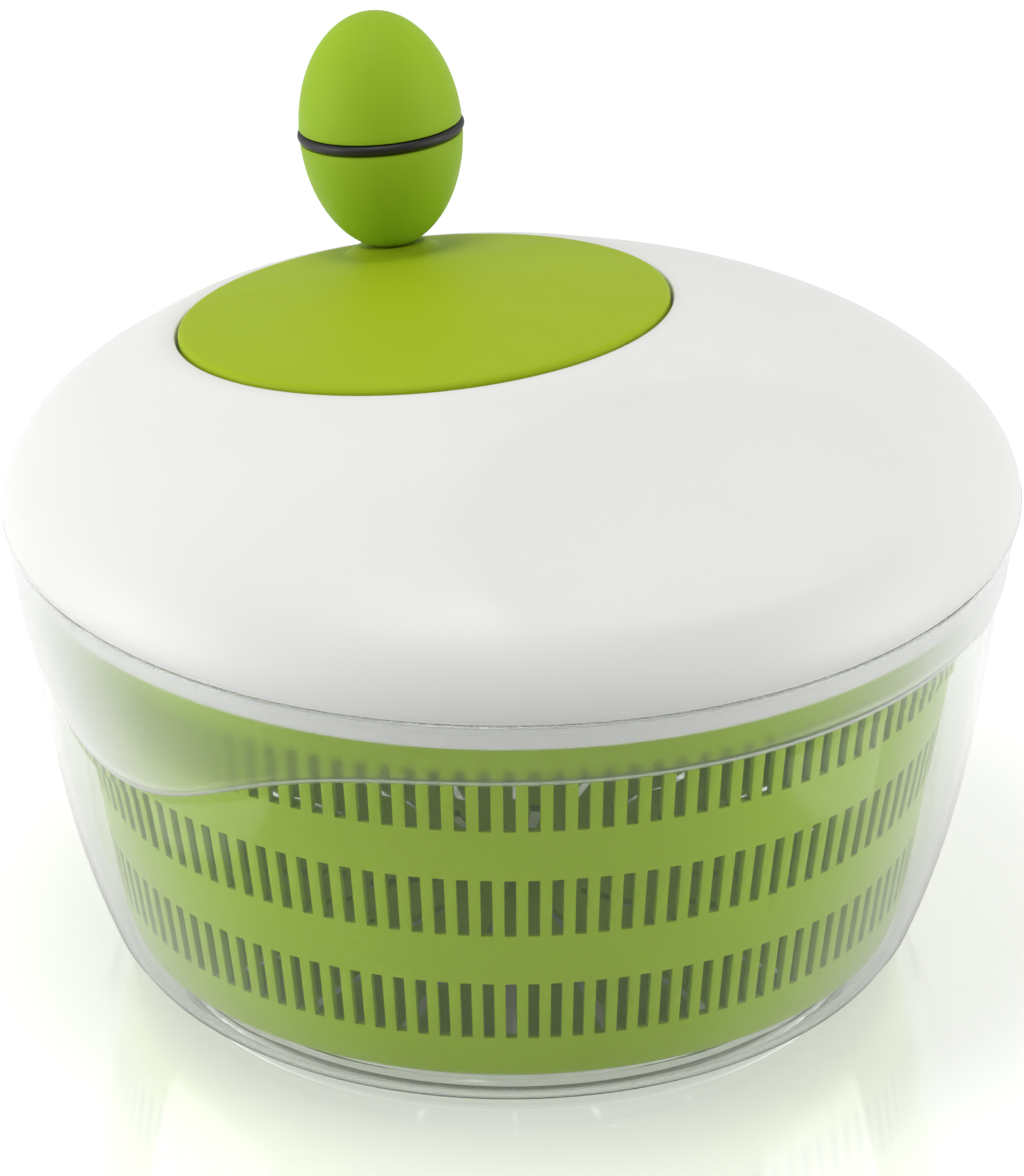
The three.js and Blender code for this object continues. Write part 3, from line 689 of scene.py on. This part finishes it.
def disc_edge(rounding_start, edge_height):
    """(radius, height) points round the disc's edge, down its skirt and up inside it."""
    first_slope = math.atan(2 * DISC_CROWN * rounding_start / DISC_RADIUS**2)
    across = DISC_EDGE_ROUNDING / (1 - math.sin(first_slope))
    edge = [
        (
            rounding_start + across * (math.sin(turn) - math.sin(first_slope)),
            edge_height - DISC_EDGE_ROUNDING * (math.cos(first_slope) - math.cos(turn)),
        )
        for turn in np.linspace(first_slope, math.pi / 2, 9)[1:]
    ]
    edge += [(DISC_RADIUS, DISC_SKIRT_Z + 0.2), (DISC_RADIUS - 0.3, DISC_SKIRT_Z)]
    inside = DISC_RADIUS - DISC_WALL
    edge += [(inside + 0.2, DISC_SKIRT_Z), (inside, DISC_SKIRT_Z + 0.2)]
    return [*edge, (inside, edge_height - 2 * DISC_WALL)]


def make_crank_disc():
    """The disc's top is a ring of points from the knob's collar out to its own edge."""
    phi = angles(DISC_COLUMNS)
    around = np.stack([np.cos(phi), np.sin(phi)], 1)
    spot = np.array([KNOB_SPOT.x, KNOB_SPOT.y])
    rounding_start = DISC_RADIUS - DISC_EDGE_ROUNDING

    def top(share):
        plan = (1 - share) * (spot + COLLAR_RADIUS * around) + share * rounding_start * around
        x, y = plan.T
        foot = np.hypot(x - spot[0], y - spot[1]) - COLLAR_RADIUS
        collar = COLLAR_HEIGHT * (1 - smoothstep(foot / COLLAR_FLARE)) ** COLLAR_CURVE
        return np.stack([x, y, disc_top(np.hypot(x, y)) + collar], 1)

    centre = np.stack([spot[0] + 0 * phi, spot[1] + 0 * phi, KNOB_SPOT.z + 0 * phi], 1)
    collar_top = centre.copy()
    collar_top[:, :2] = spot + (COLLAR_RADIUS - COLLAR_CHAMFER) * around
    shares = np.linspace(0, 1, 46) ** 1.35
    rings = disc_edge(rounding_start, float(disc_top(rounding_start)))
    rings += [(r, float(disc_top(r)) - DISC_WALL) for r in (58.5, 45, 30, 15, 0)]
    rows = [centre, collar_top, *[top(share) for share in shares]]
    rows += [ring_at(r, z, phi) for r, z in rings]
    disc = surface("crank_disc_green", crank_place(np.array(rows)))
    # the disc takes the lit copy of green_satin, painted light
    finish_piece(disc, "crank", "crank_disc", "green_satin", material="green_disc_painted_light")


def egg_radius(height, inset=0):
    axis = EGG_LOWER_AXIS if height < EGG_WAIST else EGG_TOP - EGG_WAIST
    reach = abs(height - EGG_WAIST) / (axis - inset)
    return (EGG_RADIUS - inset) * math.sqrt(max(0, 1 - reach**2))


def knob_lower_profile(seam_low, seam_top, spigot):
    """The outside of the egg's lower half, its spigot, its cavity and the bore for the bush."""
    foot, near_seam = 0.3, seam_low - 0.5
    heights = foot + (near_seam - foot) * (1 - np.cos(np.linspace(0, math.pi / 2, 26)))
    profile = [(KNOB_BORE, foot), (egg_radius(foot) - 0.8, foot)]
    profile += [(egg_radius(h), h) for h in heights[1:]]
    profile += [(egg_radius(seam_low) - 0.15, seam_low - SEAM_LIP)]
    profile += [(egg_radius(seam_low) - 0.6, seam_low), (spigot, seam_low)]
    profile += [(spigot, seam_top + SPIGOT_RISE), (spigot - 1.8, seam_top + SPIGOT_RISE)]
    profile += [(egg_radius(h, EGG_WALL), h) for h in (24, 18, 12)]
    return profile + [(7, 9), (7, 26), (KNOB_BORE, 26)]


def knob_upper_profile(seam_top, spigot):
    """The egg's upper half, with a recess that takes the spigot."""
    recess_top, near_seam = seam_top + SPIGOT_RISE + 0.3, seam_top + 0.5
    profile = [(0, recess_top), (spigot - 0.4, recess_top), (spigot - 0.4, seam_top)]
    profile += [(egg_radius(seam_top) - 0.6, seam_top)]
    profile += [(egg_radius(seam_top) - 0.15, seam_top + SEAM_LIP)]
    climb = near_seam + (EGG_TOP - near_seam) * np.sin(np.linspace(0, math.pi / 2, 34))
    return profile + [(egg_radius(h), h) for h in climb[:-1]] + [(0, EGG_TOP)]


def make_knob():
    seam_low = EGG_WAIST - RING_SECTION - SEAM_GAP
    seam_top = EGG_WAIST + RING_SECTION + SEAM_GAP
    spigot = EGG_RADIUS - 2 * RING_SECTION - 0.6
    proud = EGG_RADIUS + 0.5
    ring = [
        (proud - RING_SECTION * (1 - math.cos(a)), EGG_WAIST + RING_SECTION * math.sin(a))
        for a in angles(20)
    ]
    lower = knob_lower_profile(seam_low, seam_top, spigot)
    upper = knob_upper_profile(seam_top, spigot)
    pieces = (
        ("knob_lower_green", lower, True, "green_satin", "knob_lower_half"),
        ("knob_upper_green", upper, False, "green_satin", "knob_upper_half"),
        ("knob_ring_black", ring, True, "black_rubber", "knob_ring"),
    )
    for name, profile, closed, slot, node in pieces:
        made = surface(name, revolve(profile, KNOB_COLUMNS), wrap_rows=closed)
        move_points(made, lambda points: crank_place(points + np.array(KNOB_SPOT[:])))
        finish_piece(made, "knob", node, slot)


# ---------------------------------------------------------------- drive plate
def make_drive_plate():
    profile = [(0, 107.8), (12, 107.8), (14, 110.5, 2), (105, 110.5, 1), (107, 108.9, 0.8)]
    profile += [(110, 108.9), (110, 113), (12, 113, 2), (12, 115.4), (0, 115.4)]
    disc = turned("disc", profile, 192, closed=False)
    lug_size, lug_centre = (6.6, LUG_WIDTH, 8.5), (110.3, 0, 111.75)
    lugs = [bar("lug", lug_size, lug_centre, TURN * i / LUGS, 0.6) for i in range(LUGS)]
    plate = joined("drive_plate_white", [disc, *lugs])
    finish_piece(plate, "driver", "drive_plate", "white_satin")


# ---------------------------------------------------------------- CAD nodes that stay
def dress_cad_nodes():
    slots = {row["node"]: row["material_slot"] for row in frame["record"]["subparts"]}
    for name, node in frame["nodes"].items():
        node.data.materials.clear()
        node.data.materials.append(MATERIALS[slots[name]])


# ---------------------------------------------------------------- camera
CAMERA_AZIMUTH = math.radians(-35)
CAMERA_ELEVATION = math.radians(26.52)
CAMERA_DISTANCE = 1.6563  # metres
CAMERA_TARGET = Vector((0, 0, RIM_Z * MM - 0.0278))
CAMERA_ROLL = math.radians(-0.42)
FOCAL_PIXELS = 6439.0
PICTURE_HEIGHT = 1176
SENSOR = 36


def view_place(azimuth, elevation, distance):
    """A place seen from the camera's target, in metres."""
    flat = distance * math.cos(elevation)
    across, toward = flat * math.sin(azimuth), -flat * math.cos(azimuth)
    return CAMERA_TARGET + Vector((across, toward, distance * math.sin(elevation)))


def make_camera():
    camera = bpy.data.cameras.new("camera")
    camera.sensor_width = SENSOR
    camera.lens = FOCAL_PIXELS * SENSOR / PICTURE_HEIGHT
    camera.clip_end = 20
    holder = bpy.data.objects.new("camera", camera)
    place = view_place(CAMERA_AZIMUTH, CAMERA_ELEVATION, CAMERA_DISTANCE)
    look = (CAMERA_TARGET - place).to_track_quat("-Z", "Y").to_matrix().to_4x4()
    rolled = look @ Matrix.Rotation(CAMERA_ROLL, 4, "Z")
    rolled.translation = place
    holder.matrix_world = rolled
    bpy.context.scene.collection.objects.link(holder)
    bpy.context.scene.camera = holder


# ---------------------------------------------------------------- room and lamps
ROOM_FRONT_SIDE = (math.sin(CAMERA_AZIMUTH), -math.cos(CAMERA_AZIMUTH))  # towards the camera
ROOM_BACK = 0.6
ROOM_FRONT = 0.1
ROOM_CEILING = 0.9  # how much the ceiling counts as back
SOFTBOXES = (  # name, degrees round from the camera, degrees up, metres away, size, watts
    ("left_softbox", -82, 9, 1.3, (0.9, 1.2), 10),
    ("right_softbox", 82, 9, 1.4, (0.9, 1.2), 9.5),
    ("back_softbox", 180, 50, 1.6, (1.8, 1.0), 1),
    ("top_softbox", -45, 80, 1.2, (0.4, 0.4), 4.3),
)


def make_world():
    """A white room that is darker in front of the object and brighter behind and above it."""
    world = bpy.data.worlds.new("studio")
    world.use_nodes = True
    tree = world.node_tree
    background = tree.nodes["Background"]
    background.inputs["Color"].default_value = (1, 1, 1, 1)
    direction = tree.nodes.new("ShaderNodeTexCoord").outputs["Generated"]
    facing = tree.nodes.new("ShaderNodeVectorMath")
    facing.operation = "DOT_PRODUCT"
    facing.inputs[1].default_value = (*ROOM_FRONT_SIDE, -ROOM_CEILING)
    tree.links.new(direction, facing.inputs[0])
    strength = map_range(tree, facing.outputs["Value"], (-1, 0.9), (ROOM_BACK, ROOM_FRONT))
    tree.links.new(strength, background.inputs["Strength"])
    bpy.context.scene.world = world


def make_lights():
    for name, degrees_round, degrees_up, distance, size, power in SOFTBOXES:
        light = bpy.data.lights.new(name, "AREA")
        light.shape = "RECTANGLE"
        light.size, light.size_y = size
        light.energy = power
        azimuth = CAMERA_AZIMUTH + math.radians(degrees_round)
        lamp = bpy.data.objects.new(name, light)
        lamp.location = view_place(azimuth, math.radians(degrees_up), distance)
        aim = CAMERA_TARGET - lamp.location
        lamp.rotation_euler = aim.to_track_quat("-Z", "Y").to_euler()
        bpy.context.scene.collection.objects.link(lamp)


# ---------------------------------------------------------------- floor
FLOOR_HALF = 6  # metres
FLOOR_DROP = 0.0004  # metres, so the foot ring doesn't lie in the floor's plane
FLOOR_TONE = 0.82
FLOOR_GLOW = 0.58
FLOOR_BOUNCE = 0.15  # the part of the glow that lights the object
FLOOR_MIRROR = 0.3
SHADE_INNER, SHADE_OUTER, SHADE_GLOW = 60, 96, 0.1  # the floor glows less under the bowl, as a painted shadow
FLOOR_SEEN_IN_PLASTIC = 0.03  # how bright the plastics mirror the floor in front of the object
FLOOR_DARK_FROM, FLOOR_DARK_TO = -0.1, 0.08  # metres in front of the object's middle


def make_floor():
    """A white table whose sheen mirrors the bowl."""
    mesh = bpy.data.meshes.new("floor")
    corners = [(x * FLOOR_HALF, y * FLOOR_HALF, 0) for x, y in ((-1, -1), (1, -1), (1, 1), (-1, 1))]
    mesh.from_pydata(corners, [], [(0, 1, 2, 3)])
    mesh.materials.append(floor_material())
    floor = bpy.data.objects.new("floor", mesh)
    floor.location.z = -FLOOR_DROP
    bpy.context.scene.collection.objects.link(floor)


def floor_material():
    """White and softly glowing, half mirror, with a painted shadow under the bowl, and dark where the bowl's front
    would mirror it, a painted dark reflection.
    """
    shader = Shader("pale_floor", Roughness=0.6, Specular_IOR_Level=0.0)
    shader.main.inputs["Base Color"].default_value = (FLOOR_TONE, FLOOR_TONE, FLOOR_TONE, 1)
    shader.main.inputs["Emission Color"].default_value = (1, 1, 1, 1)
    tree = shader.tree

    def calculated(operation, first, second):
        node = tree.nodes.new("ShaderNodeMath")
        node.operation = operation
        for socket, value in zip(node.inputs, (first, second)):
            if isinstance(value, (int, float)):
                socket.default_value = value
            else:
                shader.link(value, socket)
        return node.outputs["Value"]

    def mixed(first, second, amount):
        mix = tree.nodes.new("ShaderNodeMixShader")
        if isinstance(amount, float):
            mix.inputs["Fac"].default_value = amount
        else:
            shader.link(amount, mix.inputs["Fac"])
        shader.link(first, mix.inputs[1])
        shader.link(second, mix.inputs[2])
        return mix.outputs["Shader"]

    path = tree.nodes.new("ShaderNodeLightPath")
    hidden_glow = calculated("MULTIPLY", path.outputs["Is Diffuse Ray"], FLOOR_GLOW - FLOOR_BOUNCE)
    glow = calculated("SUBTRACT", FLOOR_GLOW, hidden_glow)
    from_middle = tree.nodes.new("ShaderNodeVectorMath")
    from_middle.operation = "LENGTH"
    shader.link(shader.coordinates, from_middle.inputs[0])
    shade = (SHADE_INNER * MM, SHADE_OUTER * MM)
    # the glow drops under the bowl: a painted shadow
    open_air = map_range(tree, from_middle.outputs["Value"], shade, (SHADE_GLOW, 1), "SMOOTHSTEP")
    shader.link(calculated("MULTIPLY", glow, open_air), shader.main.inputs["Emission Strength"])

    mirror = tree.nodes.new("ShaderNodeBsdfAnisotropic")
    mirror.inputs["Color"].default_value = (1, 1, 1, 1)
    mirror.inputs["Roughness"].default_value = 0.05
    dark = tree.nodes.new("ShaderNodeBsdfDiffuse")
    dark.inputs["Color"].default_value = (0, 0, 0, 1)
    forward = tree.nodes.new("ShaderNodeVectorMath")
    forward.operation = "DOT_PRODUCT"
    forward.inputs[1].default_value = (*ROOM_FRONT_SIDE, 0)
    shader.link(shader.coordinates, forward.inputs[0])
    dark_span = (FLOOR_DARK_FROM, FLOOR_DARK_TO)
    # black for glossy reflection rays in front of the object: a painted dark reflection
    in_front = map_range(tree, forward.outputs["Value"], dark_span, (0, 1 - FLOOR_SEEN_IN_PLASTIC))
    reflected, by_gloss = path.outputs["Is Reflection Ray"], path.outputs["Is Glossy Ray"]
    glossy = calculated("MULTIPLY", reflected, by_gloss)
    dimmed = calculated("MULTIPLY", glossy, in_front)
    polished = mixed(shader.main.outputs["BSDF"], mirror.outputs["BSDF"], FLOOR_MIRROR)
    floor_shader = mixed(polished, dark.outputs["BSDF"], dimmed)
    shader.link(floor_shader, tree.nodes["Material Output"].inputs["Surface"])
    return shader.material


make_camera()
make_world()
make_lights()
make_floor()
dress_cad_nodes()
make_bowl()
make_basket()
make_lid_cover()
make_lid_base()
make_crank_disc()
make_knob()
make_drive_plate()
bpy.context.scene.view_settings.view_transform = "Standard"
